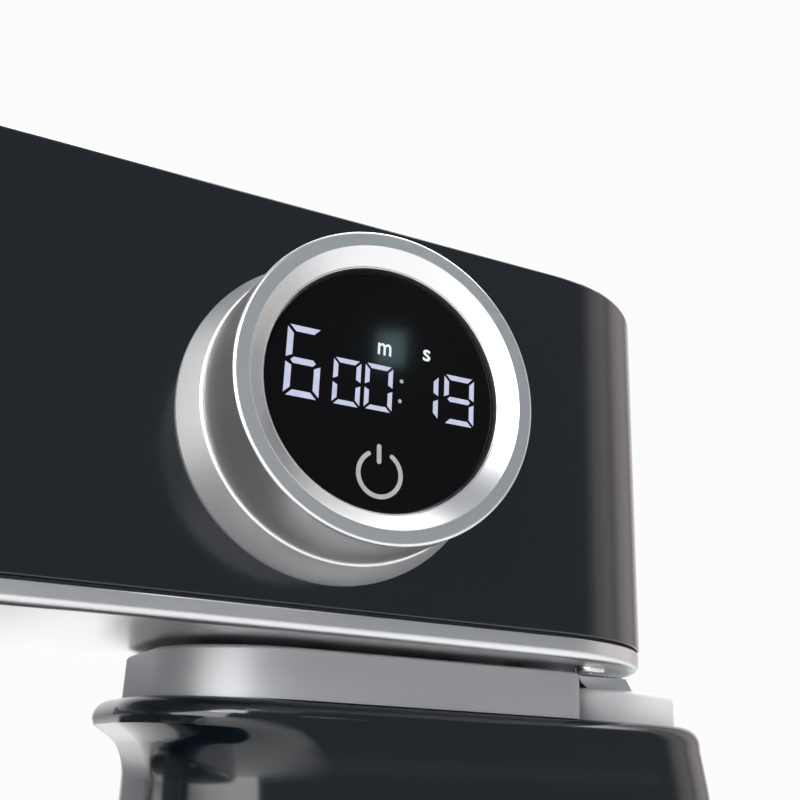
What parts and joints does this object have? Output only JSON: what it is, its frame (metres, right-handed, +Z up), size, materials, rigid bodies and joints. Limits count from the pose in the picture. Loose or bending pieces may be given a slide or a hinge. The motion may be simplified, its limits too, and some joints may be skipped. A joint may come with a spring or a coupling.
{
  "type": "stand mixer",
  "caption": "Tilt-head stand mixer: gloss-black head and column, silver tray and neck, side timer knob with a round display, planetary beater over a steel bowl.",
  "frame": {"origin": "middle of the bounding box at table level, under the rubber feet", "axes": "+X from the bowl to the rear of the column, +Y away from the knob side, +Z up"},
  "size_m": [0.414, 0.2182, 0.318],
  "materials": {
    "black_gloss": "gloss",
    "silver_satin": "satin",
    "knob_silver": "fine blasted",
    "display_glass": "polished black",
    "soft_black": "matte",
    "black_plastic": "matte",
    "board_green": "satin",
    "grey_plastic": "satin",
    "steel": "ground",
    "bowl_steel": "brushed",
    "iron": "dull",
    "copper": "lacquered",
    "bronze": "dull",
    "cast_light": "cast"
  },
  "bodies": {
    "stand": {"stand_shell": "black_gloss", "base_plate": "black_plastic", "base_screws": "steel", "rubber_feet": "soft_black", "counterweight": "iron", "mains_filter": "black_plastic", "cord_gland": "black_plastic", "bowl_seat_ring": "silver_satin", "neck_collar": "silver_satin", "rest_pads": "soft_black", "hinge_block": "silver_satin", "hinge_pin": "steel"},
    "head": {"head_cover": "black_gloss", "head_tray": "silver_satin", "tray_screws": "steel", "head_seal": "soft_black", "hinge_arms": "silver_satin", "hinge_bushes": "bronze", "lock_catch": "steel", "knob_flange": "knob_silver", "display_post": "black_plastic", "post_nut": "black_plastic", "display_glass": "display_glass", "display_board": "board_green", "digit_module": "black_plastic", "control_board": "board_green", "board_posts": "grey_plastic", "board_components": "grey_plastic", "motor_stator": "iron", "stator_windings": "copper", "motor_low_shield": "steel", "motor_high_shield": "steel", "motor_bearings": "steel", "brush_holders": "black_plastic", "drive_belt": "soft_black", "gear_housing": "cast_light", "main_bearings": "bronze", "gear_collar": "silver_satin", "ring_gear": "steel"},
    "knob": {"knob_ring": "knob_silver", "encoder_wheel": "black_plastic"},
    "rotor": {"rotor_core": "iron", "rotor_shaft": "steel", "commutator": "copper", "cooling_fan": "black_plastic", "motor_pulley": "cast_light"},
    "carrier": {"main_shaft": "steel", "drive_pulley": "cast_light", "planet_carrier": "cast_light", "planet_bush": "bronze"},
    "planet": {"planet_gear": "steel", "tool_shaft": "steel", "drive_pin": "steel", "flat_beater": "cast_light"},
    "bowl": {"mixing_bowl": "bowl_steel", "bowl_base_ring": "bowl_steel"},
    "lock": {"lock_slider": "silver_satin"}
  },
  "joints": [
    {"name": "head_tilt", "type": "hinge", "parent": "stand", "child": "head", "pos_m": [0.166, 0, 0.2096], "axis": [0, 1, 0], "range_deg": [0, 35]},
    {"name": "knob_turn", "type": "hinge", "parent": "head", "child": "knob", "pos_m": [0.0615, -0.054, 0.2666], "axis": [0, -1, 0], "continuous": true},
    {"name": "carrier_spin", "type": "hinge", "parent": "head", "child": "carrier", "pos_m": [-0.09, 0, 0.2], "axis": [0, 0, 1], "continuous": true},
    {"name": "planet_spin", "type": "hinge", "parent": "carrier", "child": "planet", "pos_m": [-0.066, 0, 0.2], "axis": [0, 0, 1], "continuous": true},
    {"name": "motor_spin", "type": "hinge", "parent": "head", "child": "rotor", "pos_m": [0.008, 0, 0.26], "axis": [0, 0, 1], "continuous": true},
    {"name": "bowl_twist", "type": "hinge", "parent": "stand", "child": "bowl", "pos_m": [-0.09, 0, 0.05], "axis": [0, 0, 1], "range_deg": [0, 40]},
    {"name": "lock_slide", "type": "slide", "parent": "stand", "child": "lock", "axis": [1, 0, 0], "range_m": [0, 0.012]}
  ],
  "couplings": [
    {"joint": "planet_spin", "follows": "carrier_spin", "ratio": -3},
    {"joint": "motor_spin", "follows": "carrier_spin", "ratio": 6}
  ]
}
